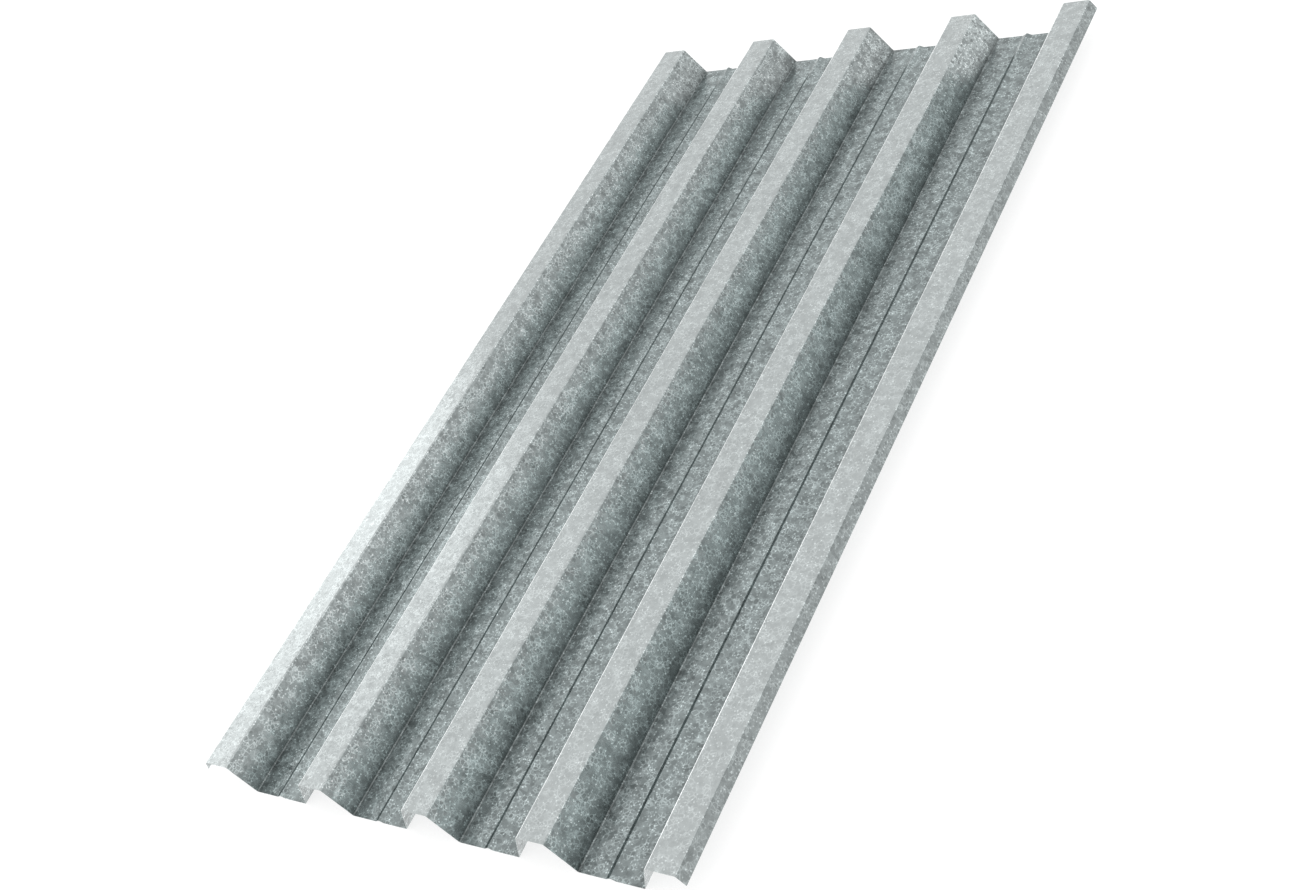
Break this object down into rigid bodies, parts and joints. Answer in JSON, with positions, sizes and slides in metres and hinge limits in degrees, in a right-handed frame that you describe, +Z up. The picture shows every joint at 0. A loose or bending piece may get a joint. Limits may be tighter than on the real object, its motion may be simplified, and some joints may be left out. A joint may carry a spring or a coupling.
{
  "type": "corrugated metal sheet",
  "caption": "Galvanised trapezoidal corrugated steel sheet with flat-topped ribs, beaded pans and short turned-down side lips, for roofing, cladding or decking.",
  "frame": {"origin": "middle of the sheet in plan, on the plane of the pans' undersides", "axes": "+X across the ribs to the right, +Y along the ribs, +Z up from the pans to the crests"},
  "size_m": [0.7756, 1.5, 0.0507],
  "materials": {
    "galvanised_steel": "hot-dip galvanised, small mottled spangle, satin"
  },
  "bodies": {
    "root": {"sheet": "galvanised_steel"}
  },
  "joints": []
}
